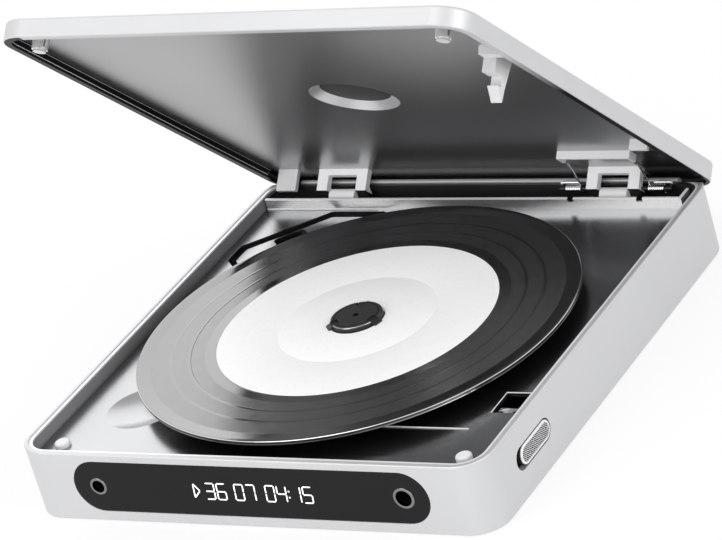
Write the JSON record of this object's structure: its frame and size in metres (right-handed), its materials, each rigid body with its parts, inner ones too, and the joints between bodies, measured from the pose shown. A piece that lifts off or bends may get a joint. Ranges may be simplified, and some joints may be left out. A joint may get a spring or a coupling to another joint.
{
  "type": "disc player",
  "caption": "Flat wall-mounted audio disc player with a sprung lid standing open over the disc, a front display window and two headphone sockets.",
  "frame": {"origin": "centre of the case outline on its flat back, the face that meets the wall", "axes": "+Z out of the back towards the disc, +Y towards the lid hinge, +X to the right when the display faces the viewer"},
  "size_m": [0.1385, 0.1511, 0.12],
  "materials": {
    "case_metal": "satin, fine bead-blasted",
    "deck_metal": "satin",
    "liner_black": "fine moulded texture",
    "hinge_plastic": "satin moulded",
    "window_black": "polished, smoked black",
    "display_face": "gloss",
    "board": "solder resist",
    "chip": "moulded",
    "battery_wrap": "foil pouch",
    "steel": "ground",
    "bright_steel": "bright plated",
    "dark_steel": "black nickel",
    "socket_plastic": "moulded",
    "rubber_grey": "moulded",
    "bumper_rubber": "moulded",
    "button_metal": "satin",
    "slider_metal": "satin with a knurled face",
    "gear_plastic": "moulded acetal",
    "sled_plastic": "glass-filled moulding",
    "lens_glass": "polished",
    "hub_plastic": "moulded",
    "disc_plastic": "polished with a printed label"
  },
  "bodies": {
    "base": {"base_shell": "case_metal", "bottom_cover": "case_metal", "wall_pads": "rubber_grey", "cover_screws": "bright_steel", "deck_plate": "deck_metal", "deck_bumpers": "bumper_rubber", "hinge_trough": "liner_black", "hinge_knuckles": "hinge_plastic", "hinge_pins": "steel", "front_window": "window_black", "jack_bezels": "dark_steel", "jack_small": "socket_plastic", "jack_large": "socket_plastic", "display_module": "display_face", "display_board": "board", "main_board": "board", "board_chips": "chip", "battery": "battery_wrap", "usb_port": "bright_steel", "button_board": "board", "tact_switches": "steel", "drive_cover": "deck_metal", "drive_chassis": "steel", "rubber_dampers": "rubber_grey", "damper_screws": "bright_steel", "spindle_motor": "bright_steel", "guide_rods": "bright_steel", "rod_clips": "sled_plastic", "sled_motor": "bright_steel", "gear_post": "steel", "release_spring": "bright_steel"},
    "lid": {"lid_shell": "case_metal", "lid_panel": "deck_metal", "lid_brackets": "hinge_plastic", "spring_arbors": "dark_steel", "torsion_springs": "bright_steel", "lid_blocks": "hinge_plastic", "lid_pegs": "hinge_plastic", "latch_hook": "hinge_plastic"},
    "spindle": {"spindle_hub": "hub_plastic", "hub_jaws": "hub_plastic", "disc": "disc_plastic"},
    "pickup": {"pickup_sled": "sled_plastic", "pickup_lens": "lens_glass", "sled_rack": "gear_plastic"},
    "gear": {"compound_gear": "gear_plastic"},
    "pinion": {"motor_pinion": "gear_plastic"},
    "release": {"release_slider": "sled_plastic", "release_knob": "slider_metal", "latch_catch": "bright_steel"},
    "previous": {"button_previous": "button_metal"},
    "play": {"button_play": "button_metal"},
    "next": {"button_next": "button_metal"},
    "power": {"button_power": "button_metal"},
    "volume": {"volume_rocker": "button_metal"}
  },
  "joints": [
    {"name": "lid_hinge", "type": "hinge", "parent": "base", "child": "lid", "pos_m": [0, 0.06715, 0.01417], "axis": [-1, 0, 0], "range_deg": [-44.7, 0], "stiffness_Nm_per_rad": 0.1, "springref_deg": 68.75},
    {"name": "disc_spin", "type": "hinge", "parent": "base", "child": "spindle", "pos_m": [0, -0.0057, 0.01981], "axis": [0, 0, 1], "continuous": true},
    {"name": "sled_slide", "type": "slide", "parent": "base", "child": "pickup", "axis": [-0.7071, 0.7071, 0], "range_m": [-0.017, 0.018]},
    {"name": "gear_spin", "type": "hinge", "parent": "base", "child": "gear", "pos_m": [-0.01061, 0.03178, 0.0105], "axis": [0, 0, 1], "range_deg": [-260, 246]},
    {"name": "pinion_spin", "type": "hinge", "parent": "base", "child": "pinion", "pos_m": [-0.01838, 0.03955, 0.0099], "axis": [0, 0, 1], "range_deg": [-652, 690]},
    {"name": "release_slide", "type": "slide", "parent": "base", "child": "release", "axis": [0, -1, 0], "range_m": [0, 0.002], "stiffness_N_per_m": 200, "springref_m": -0.003},
    {"name": "previous_press", "type": "slide", "parent": "base", "child": "previous", "axis": [1, 0, 0], "range_m": [0, 0.0003], "stiffness_N_per_m": 1500, "springref_m": -0.0001},
    {"name": "play_press", "type": "slide", "parent": "base", "child": "play", "axis": [1, 0, 0], "range_m": [0, 0.0003], "stiffness_N_per_m": 1500, "springref_m": -0.0001},
    {"name": "next_press", "type": "slide", "parent": "base", "child": "next", "axis": [1, 0, 0], "range_m": [0, 0.0003], "stiffness_N_per_m": 1500, "springref_m": -0.0001},
    {"name": "power_press", "type": "slide", "parent": "base", "child": "power", "axis": [1, 0, 0], "range_m": [0, 0.0003], "stiffness_N_per_m": 1500, "springref_m": -0.0001},
    {"name": "volume_rock", "type": "hinge", "parent": "base", "child": "volume", "pos_m": [-0.0661, -0.049, 0.0103], "axis": [0, 0, 1], "range_deg": [-2, 2], "stiffness_Nm_per_rad": 0.1}
  ],
  "couplings": [
    {"joint": "gear_spin", "follows": "sled_slide", "rad_per_m": -250},
    {"joint": "pinion_spin", "follows": "sled_slide", "rad_per_m": 666.67}
  ]
}
